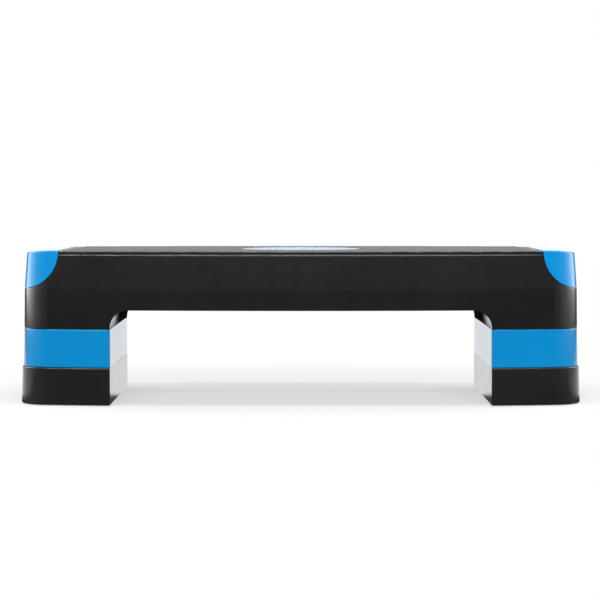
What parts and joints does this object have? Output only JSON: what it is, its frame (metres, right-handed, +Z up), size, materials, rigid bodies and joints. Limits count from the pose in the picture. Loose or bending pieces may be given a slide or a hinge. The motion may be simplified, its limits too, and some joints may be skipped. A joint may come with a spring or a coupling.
{
  "type": "aerobic step platform",
  "caption": "Low bridge-shaped exercise step with a grip mat on a hollow deck, coloured corner caps and stacked lift-off risers under each end.",
  "frame": {"origin": "on the floor under the middle of the platform", "axes": "+X along the length to the right seen from the front, +Y towards the rear, +Z up"},
  "size_m": [0.7802, 0.2958, 0.2137],
  "materials": {
    "deck_plastic": "fine moulded grain, satin black",
    "lower_riser_plastic": "fine moulded grain, satin black",
    "upper_riser_plastic": "satin gloss, bright blue",
    "cap_plastic": "satin gloss, bright blue",
    "badge_plastic": "smooth gloss, bare",
    "mat_rubber": "grey, moulded grip pattern",
    "foot_rubber": "matt black",
    "screw_steel": "zinc plated"
  },
  "bodies": {
    "deck": {"deck_shell": "deck_plastic", "tread_mat": "mat_rubber", "centre_badge": "badge_plastic", "corner_cap_front_left": "cap_plastic", "corner_cap_front_right": "cap_plastic", "corner_cap_rear_left": "cap_plastic", "corner_cap_rear_right": "cap_plastic", "cap_screws": "screw_steel", "deck_foot_left_front_outer": "foot_rubber", "deck_foot_left_front_inner": "foot_rubber", "deck_foot_left_rear_outer": "foot_rubber", "deck_foot_left_rear_inner": "foot_rubber", "deck_foot_right_front_outer": "foot_rubber", "deck_foot_right_front_inner": "foot_rubber", "deck_foot_right_rear_outer": "foot_rubber", "deck_foot_right_rear_inner": "foot_rubber"},
    "upper_riser_left": {"upper_riser_left": "upper_riser_plastic", "upper_foot_left_front_outer": "foot_rubber", "upper_foot_left_front_inner": "foot_rubber", "upper_foot_left_rear_outer": "foot_rubber", "upper_foot_left_rear_inner": "foot_rubber"},
    "lower_riser_left": {"lower_riser_left": "lower_riser_plastic", "lower_foot_left_front_outer": "foot_rubber", "lower_foot_left_front_inner": "foot_rubber", "lower_foot_left_rear_outer": "foot_rubber", "lower_foot_left_rear_inner": "foot_rubber"},
    "upper_riser_right": {"upper_riser_right": "upper_riser_plastic", "upper_foot_right_front_outer": "foot_rubber", "upper_foot_right_front_inner": "foot_rubber", "upper_foot_right_rear_outer": "foot_rubber", "upper_foot_right_rear_inner": "foot_rubber"},
    "lower_riser_right": {"lower_riser_right": "lower_riser_plastic", "lower_foot_right_front_outer": "foot_rubber", "lower_foot_right_front_inner": "foot_rubber", "lower_foot_right_rear_outer": "foot_rubber", "lower_foot_right_rear_inner": "foot_rubber"}
  },
  "joints": [
    {"name": "upper_riser_left_lift", "type": "slide", "parent": "deck", "child": "upper_riser_left", "axis": [0, 0, -1], "range_m": [0, 0.06]},
    {"name": "lower_riser_left_lift", "type": "slide", "parent": "upper_riser_left", "child": "lower_riser_left", "axis": [0, 0, -1], "range_m": [0, 0.06]},
    {"name": "upper_riser_right_lift", "type": "slide", "parent": "deck", "child": "upper_riser_right", "axis": [0, 0, -1], "range_m": [0, 0.06]},
    {"name": "lower_riser_right_lift", "type": "slide", "parent": "upper_riser_right", "child": "lower_riser_right", "axis": [0, 0, -1], "range_m": [0, 0.06]}
  ]
}
